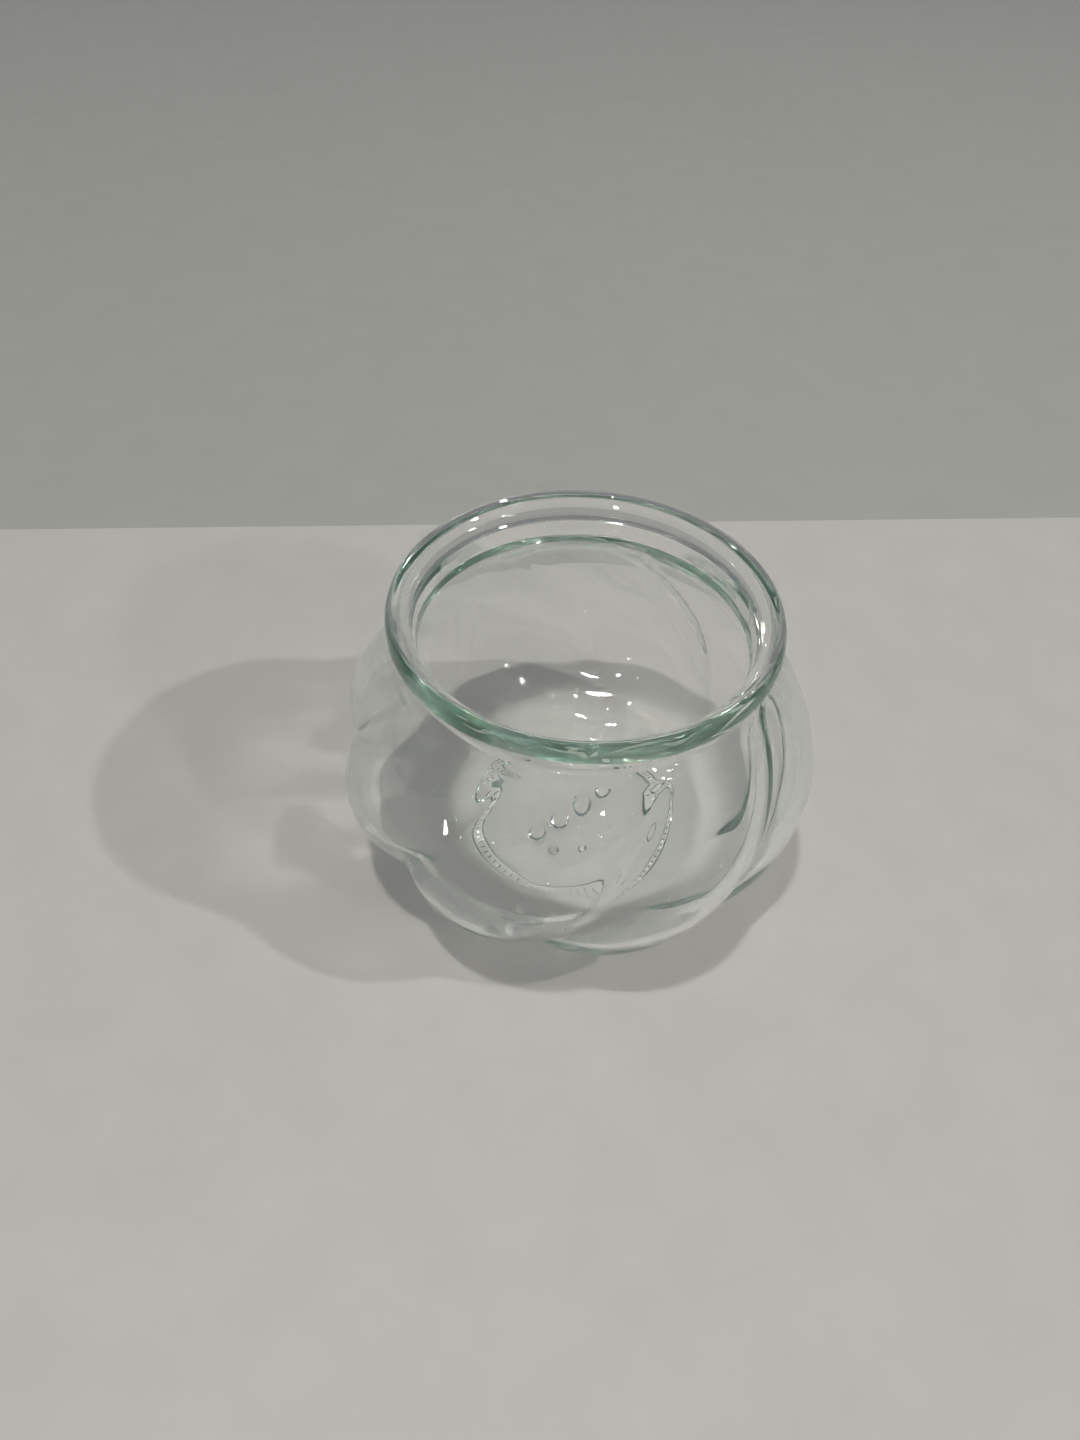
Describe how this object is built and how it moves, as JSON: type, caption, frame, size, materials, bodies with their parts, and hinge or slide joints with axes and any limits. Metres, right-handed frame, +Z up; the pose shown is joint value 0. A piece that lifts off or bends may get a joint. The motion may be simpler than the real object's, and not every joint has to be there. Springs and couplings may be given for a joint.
{
  "type": "candle jar",
  "caption": "Squat round clear glass jar with a swirled lobed wall, a rolled bead round a wide open mouth and a flat bearing ring, for holding a candle.",
  "frame": {"origin": "on the table, under the middle of the base", "axes": "+Z up through the mouth; the front of the jar faces -Y"},
  "size_m": [0.1132, 0.1132, 0.0759],
  "materials": {
    "clear_glass": "polished moulded soda-lime glass, clear with a faint green tint where it is thick"
  },
  "bodies": {
    "root": {"rim_bead": "clear_glass", "neck": "clear_glass", "shoulder": "clear_glass", "bowl": "clear_glass", "base": "clear_glass", "bearing_knurl": "clear_glass", "base_dots": "clear_glass"}
  },
  "joints": []
}
